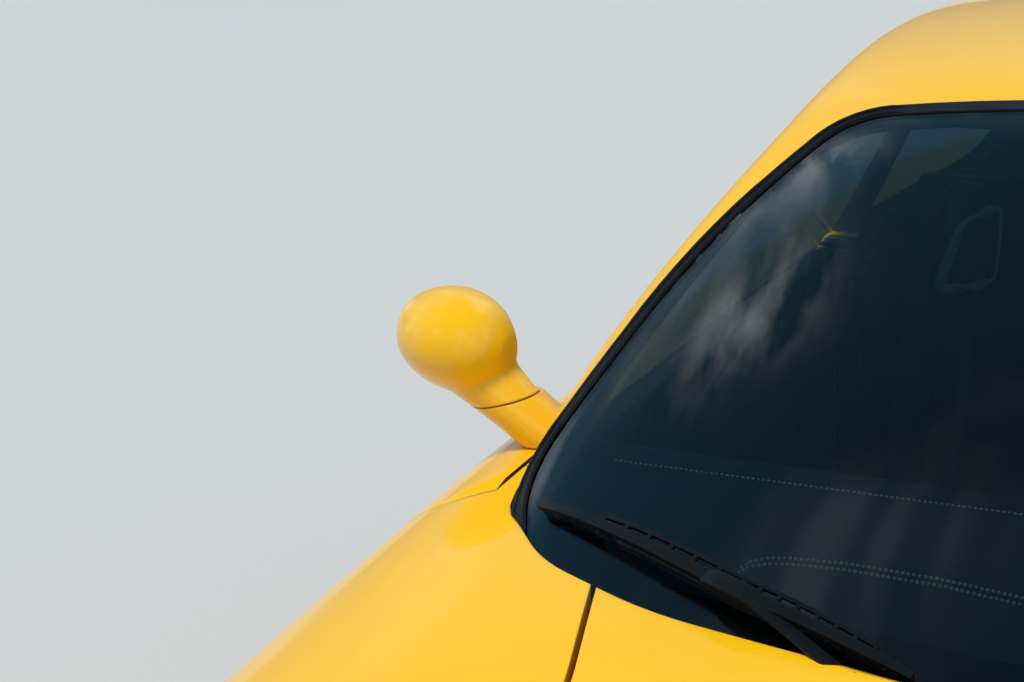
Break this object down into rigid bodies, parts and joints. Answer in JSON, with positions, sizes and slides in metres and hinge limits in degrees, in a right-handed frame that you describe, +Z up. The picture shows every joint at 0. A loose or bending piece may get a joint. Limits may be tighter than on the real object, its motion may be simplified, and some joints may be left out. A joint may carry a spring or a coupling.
{
  "type": "two-plus-two coupe car with its engine behind the rear axle",
  "caption": "Yellow fastback coupe with hinged doors, bonnet and engine lid, steering front wheels and a fitted cabin.",
  "frame": {"origin": "on the ground, at the middle of the car's length and width", "axes": "+Z up, the nose points along -Y, the car's right side is at -X"},
  "size_m": [1.886, 4.43, 1.3049],
  "materials": {
    "paint": "glossy",
    "glass": "glossy",
    "lamp": "glossy",
    "tail_lamp": "glossy",
    "rubber": "matte",
    "tyre": "matte",
    "trim": "satin",
    "leather": "satin",
    "alloy": "satin",
    "iron": "satin",
    "steel": "satin"
  },
  "bodies": {
    "root": {"front_bumper": "paint", "wing_right": "paint", "wing_left": "paint", "side_right": "paint", "side_left": "paint", "roof_frame": "paint", "rear_bumper": "paint", "windscreen": "glass", "windscreen_seal": "rubber", "rear_windows": "glass", "scuttle_panel": "trim", "wheel_liners": "trim", "wipers": "trim", "dashboard": "leather", "centre_console": "trim", "seat_shells": "trim", "seat_pads": "leather", "rear_seat": "leather", "engine_block": "alloy", "exhaust": "steel", "luggage_tub": "trim", "headlamp_bowls": "alloy", "headlamp_lenses": "lamp", "tail_lamps": "tail_lamp", "suspension": "iron", "floor_pan": "trim"},
    "bonnet_lid": {"bonnet": "paint"},
    "engine_cover": {"engine_lid": "paint"},
    "steering": {"steering_wheel": "leather"},
    "door_body_right": {"door_right": "paint", "door_glass_right": "glass", "mirror_foot_right": "trim"},
    "mirror_body_right": {"mirror_head_right": "paint"},
    "steer_body_right": {"knuckle_right": "iron"},
    "wheel_front_right": {"tyre_front_right": "tyre", "rim_front_right": "alloy"},
    "wheel_rear_right": {"tyre_rear_right": "tyre", "rim_rear_right": "alloy"},
    "door_body_left": {"door_left": "paint", "door_glass_left": "glass", "mirror_foot_left": "trim"},
    "mirror_body_left": {"mirror_head_left": "paint"},
    "steer_body_left": {"knuckle_left": "iron"},
    "wheel_front_left": {"tyre_front_left": "tyre", "rim_front_left": "alloy"},
    "wheel_rear_left": {"tyre_rear_left": "tyre", "rim_rear_left": "alloy"}
  },
  "joints": [
    {"name": "door_right_hinge", "type": "hinge", "parent": "root", "child": "door_body_right", "pos_m": [-0.891, -0.743, 0.6], "axis": [0, 0, 1], "range_deg": [0, 62]},
    {"name": "mirror_right_fold", "type": "hinge", "parent": "door_body_right", "child": "mirror_body_right", "pos_m": [-0.794, -0.536, 0.942], "axis": [0.2113, 0, -0.9774], "range_deg": [0, 55]},
    {"name": "steer_right", "type": "hinge", "parent": "root", "child": "steer_body_right", "pos_m": [-0.672, -1.32, 0.323], "axis": [0, 0, 1], "range_deg": [-33, 33]},
    {"name": "wheel_front_right_spin", "type": "hinge", "parent": "steer_body_right", "child": "wheel_front_right", "pos_m": [-0.75, -1.32, 0.323], "axis": [-1, 0, 0], "continuous": true},
    {"name": "wheel_rear_right_spin", "type": "hinge", "parent": "root", "child": "wheel_rear_right", "pos_m": [-0.7475, 1.03, 0.333], "axis": [-1, 0, 0], "continuous": true},
    {"name": "door_left_hinge", "type": "hinge", "parent": "root", "child": "door_body_left", "pos_m": [0.891, -0.743, 0.6], "axis": [0, 0, -1], "range_deg": [0, 62]},
    {"name": "mirror_left_fold", "type": "hinge", "parent": "door_body_left", "child": "mirror_body_left", "pos_m": [0.794, -0.536, 0.942], "axis": [0.2113, 0, 0.9774], "range_deg": [0, 55]},
    {"name": "steer_left", "type": "hinge", "parent": "root", "child": "steer_body_left", "pos_m": [0.672, -1.32, 0.323], "axis": [0, 0, 1], "range_deg": [-33, 33]},
    {"name": "wheel_front_left_spin", "type": "hinge", "parent": "steer_body_left", "child": "wheel_front_left", "pos_m": [0.75, -1.32, 0.323], "axis": [-1, 0, 0], "continuous": true},
    {"name": "wheel_rear_left_spin", "type": "hinge", "parent": "root", "child": "wheel_rear_left", "pos_m": [0.7475, 1.03, 0.333], "axis": [-1, 0, 0], "continuous": true},
    {"name": "bonnet_hinge", "type": "hinge", "parent": "root", "child": "bonnet_lid", "pos_m": [0, -0.84, 0.885], "axis": [-1, 0, 0], "range_deg": [0, 58]},
    {"name": "engine_lid_hinge", "type": "hinge", "parent": "root", "child": "engine_cover", "pos_m": [0, 1.255, 1.058], "axis": [1, 0, 0], "range_deg": [0, 60]},
    {"name": "steering_wheel_turn", "type": "hinge", "parent": "root", "child": "steering", "pos_m": [0.375, -0.3, 0.8], "axis": [0, 0.9207, 0.3903], "range_deg": [-462, 462]}
  ],
  "couplings": [
    {"joint": "steer_right", "follows": "steer_left", "ratio": 1},
    {"joint": "steering_wheel_turn", "follows": "steer_left", "ratio": 14}
  ]
}
